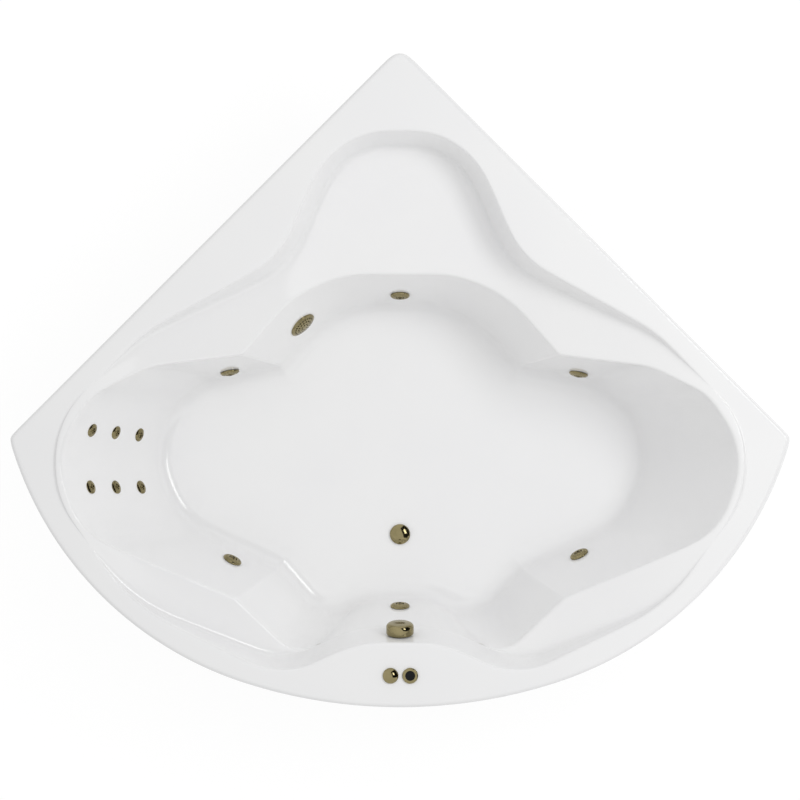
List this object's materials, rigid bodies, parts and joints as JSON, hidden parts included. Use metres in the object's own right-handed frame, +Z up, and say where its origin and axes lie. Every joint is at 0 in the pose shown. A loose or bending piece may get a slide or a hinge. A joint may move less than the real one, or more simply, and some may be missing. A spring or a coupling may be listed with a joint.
{
  "type": "corner jetted bath",
  "caption": "White corner bath with a lobed basin, a raised corner seat, brass water jets, a pop-up waste, deck controls and a pump, on a levelling steel cradle.",
  "frame": {"origin": "on the floor, under the middle of the deck's bounding box", "axes": "+Z up, +Y towards the room corner behind the seat, +X to the right seen from the front"},
  "size_m": [2.1492, 1.8027, 0.565],
  "materials": {
    "acrylic": "glossy white acrylic",
    "brass": "polished antique brass plate",
    "fitting_plastic": "moulded",
    "white_pipe": "smooth pipe",
    "grey_pipe": "smooth pipe",
    "clear_tube": "soft vinyl",
    "black_plastic": "moulded",
    "black_rubber": "matt",
    "motor_metal": "cast and painted",
    "steel": "galvanised",
    "zinc": "zinc plated",
    "board": "particle board"
  },
  "bodies": {
    "bath": {"air_control_body": "fitting_plastic", "air_ring": "grey_pipe", "air_switch_body": "brass", "air_switch_tube": "clear_tube", "back_jet_bodies": "fitting_plastic", "back_jet_branches": "white_pipe", "back_jet_faces": "brass", "bath_shell": "acrylic", "clamp_nuts": "fitting_plastic", "control_box": "black_plastic", "drain_flange": "brass", "fitting_gaskets": "black_rubber", "floor_board": "board", "foot_nuts": "zinc", "frame_bolts": "zinc", "front_rail": "steel", "jet_bodies": "fitting_plastic", "jet_gaskets": "black_rubber", "jet_nuts": "fitting_plastic", "levelling_feet": "zinc", "long_rails": "steel", "middle_rail": "steel", "motor_fan_cover": "black_plastic", "motor_housing": "motor_metal", "overflow_body": "white_pipe", "overflow_pipe": "white_pipe", "pump_base": "steel", "pump_volute": "black_plastic", "rear_rail": "steel", "rim_posts": "steel", "stopper_cable": "black_rubber", "suction_body": "fitting_plastic", "suction_cover": "brass", "suction_pipe": "white_pipe", "union_nuts": "fitting_plastic", "waste_body": "white_pipe", "water_ring": "white_pipe"},
    "jet_ring_seat": {"jet_face_seat": "brass"},
    "jet_nozzle_seat": {"jet_nozzle_seat": "brass"},
    "jet_ring_right_rear": {"jet_face_right_rear": "brass"},
    "jet_nozzle_right_rear": {"jet_nozzle_right_rear": "brass"},
    "jet_ring_right_front": {"jet_face_right_front": "brass"},
    "jet_nozzle_right_front": {"jet_nozzle_right_front": "brass"},
    "jet_ring_front": {"jet_face_front": "brass"},
    "jet_nozzle_front": {"jet_nozzle_front": "brass"},
    "jet_ring_left_front": {"jet_face_left_front": "brass"},
    "jet_nozzle_left_front": {"jet_nozzle_left_front": "brass"},
    "jet_ring_left_rear": {"jet_face_left_rear": "brass"},
    "jet_nozzle_left_rear": {"jet_nozzle_left_rear": "brass"},
    "back_nozzle_rear_1": {"back_nozzle_rear_1": "brass"},
    "back_nozzle_rear_2": {"back_nozzle_rear_2": "brass"},
    "back_nozzle_rear_3": {"back_nozzle_rear_3": "brass"},
    "back_nozzle_front_1": {"back_nozzle_front_1": "brass"},
    "back_nozzle_front_2": {"back_nozzle_front_2": "brass"},
    "back_nozzle_front_3": {"back_nozzle_front_3": "brass"},
    "overflow_knob": {"overflow_knob": "brass"},
    "drain_stopper": {"drain_stopper": "brass"},
    "air_control_knob": {"air_control_knob": "brass"},
    "air_switch_button": {"air_switch_button": "black_plastic"},
    "pump_rotor": {"pump_rotor": "zinc"}
  },
  "joints": [
    {"name": "jet_ring_seat_turn", "type": "hinge", "parent": "bath", "child": "jet_ring_seat", "pos_m": [0, 0.24114, 0.24328], "axis": [0, -0.9567, 0.2911], "range_deg": [0, 90]},
    {"name": "jet_nozzle_seat_tilt", "type": "hinge", "parent": "jet_ring_seat", "child": "jet_nozzle_seat", "pos_m": [0, 0.24305, 0.24269], "axis": [-1, 0, 0], "range_deg": [-15, 15]},
    {"name": "jet_ring_right_rear_turn", "type": "hinge", "parent": "bath", "child": "jet_ring_right_rear", "pos_m": [0.50194, 0.02144, 0.23469], "axis": [-0.177, -0.9687, 0.1738], "range_deg": [0, 90]},
    {"name": "jet_nozzle_right_rear_tilt", "type": "hinge", "parent": "jet_ring_right_rear", "child": "jet_nozzle_right_rear", "pos_m": [0.5023, 0.02338, 0.23434], "axis": [-0.9837, 0.1797, 0], "range_deg": [-15, 15]},
    {"name": "jet_ring_right_front_turn", "type": "hinge", "parent": "bath", "child": "jet_ring_right_front", "pos_m": [0.50379, -0.48963, 0.24588], "axis": [-0.4112, 0.8502, 0.3287], "range_deg": [0, 90]},
    {"name": "jet_nozzle_right_front_tilt", "type": "hinge", "parent": "jet_ring_right_front", "child": "jet_nozzle_right_front", "pos_m": [0.50461, -0.49133, 0.24522], "axis": [0.9002, 0.4354, 0], "range_deg": [-15, 15]},
    {"name": "jet_ring_front_turn", "type": "hinge", "parent": "bath", "child": "jet_ring_front", "pos_m": [0, -0.63533, 0.24207], "axis": [0, 0.9618, 0.2738], "range_deg": [0, 90]},
    {"name": "jet_nozzle_front_tilt", "type": "hinge", "parent": "jet_ring_front", "child": "jet_nozzle_front", "pos_m": [0, -0.63725, 0.24152], "axis": [1, 0, 0], "range_deg": [-15, 15]},
    {"name": "jet_ring_left_front_turn", "type": "hinge", "parent": "bath", "child": "jet_ring_left_front", "pos_m": [-0.47149, -0.50539, 0.24621], "axis": [0.4105, 0.8485, 0.3339], "range_deg": [0, 90]},
    {"name": "jet_nozzle_left_front_tilt", "type": "hinge", "parent": "jet_ring_left_front", "child": "jet_nozzle_left_front", "pos_m": [-0.47231, -0.50709, 0.24555], "axis": [0.9002, -0.4355, 0], "range_deg": [-15, 15]},
    {"name": "jet_ring_left_rear_turn", "type": "hinge", "parent": "bath", "child": "jet_ring_left_rear", "pos_m": [-0.47837, 0.02573, 0.23458], "axis": [0.1771, -0.969, 0.1724], "range_deg": [0, 90]},
    {"name": "jet_nozzle_left_rear_tilt", "type": "hinge", "parent": "jet_ring_left_rear", "child": "jet_nozzle_left_rear", "pos_m": [-0.47873, 0.02767, 0.23424], "axis": [-0.9837, -0.1798, 0], "range_deg": [-15, 15]},
    {"name": "back_nozzle_rear_1_tilt", "type": "hinge", "parent": "bath", "child": "back_nozzle_rear_1", "pos_m": [-0.73275, -0.15176, 0.25508], "axis": [-0.2998, -0.954, 0], "range_deg": [-12, 12]},
    {"name": "back_nozzle_rear_2_tilt", "type": "hinge", "parent": "bath", "child": "back_nozzle_rear_2", "pos_m": [-0.79323, -0.14475, 0.35732], "axis": [-0.3528, -0.9357, 0], "range_deg": [-12, 12]},
    {"name": "back_nozzle_rear_3_tilt", "type": "hinge", "parent": "bath", "child": "back_nozzle_rear_3", "pos_m": [-0.85371, -0.13775, 0.45957], "axis": [-0.4011, -0.916, 0], "range_deg": [-12, 12]},
    {"name": "back_nozzle_front_1_tilt", "type": "hinge", "parent": "bath", "child": "back_nozzle_front_1", "pos_m": [-0.72785, -0.29968, 0.25555], "axis": [0.3657, -0.9307, 0], "range_deg": [-12, 12]},
    {"name": "back_nozzle_front_2_tilt", "type": "hinge", "parent": "bath", "child": "back_nozzle_front_2", "pos_m": [-0.79281, -0.29799, 0.35524], "axis": [0.3414, -0.9399, 0], "range_deg": [-12, 12]},
    {"name": "back_nozzle_front_3_tilt", "type": "hinge", "parent": "bath", "child": "back_nozzle_front_3", "pos_m": [-0.85777, -0.2963, 0.45493], "axis": [0.3184, -0.9479, 0], "range_deg": [-12, 12]},
    {"name": "overflow_knob_turn", "type": "hinge", "parent": "bath", "child": "overflow_knob", "pos_m": [0, -0.70336, 0.481], "axis": [0, 0.9618, 0.2738], "range_deg": [0, 90]},
    {"name": "drain_stopper_lift", "type": "slide", "parent": "bath", "child": "drain_stopper", "axis": [0, 0, 1], "range_m": [0, 0.012]},
    {"name": "air_control_turn", "type": "hinge", "parent": "bath", "child": "air_control_knob", "pos_m": [-0.026, -0.8135, 0.55], "axis": [0, 0, 1], "range_deg": [0, 90]},
    {"name": "air_switch_press", "type": "slide", "parent": "bath", "child": "air_switch_button", "axis": [0, 0, -1], "range_m": [0, 0.004], "stiffness_N_per_m": 600, "springref_m": -0.004},
    {"name": "pump_rotor_spin", "type": "hinge", "parent": "bath", "child": "pump_rotor", "pos_m": [-0.15, 0.5, 0.269], "axis": [1, 0, 0], "continuous": true}
  ],
  "couplings": [
    {"joint": "drain_stopper_lift", "follows": "overflow_knob_turn", "m_per_rad": 0.0076394}
  ]
}
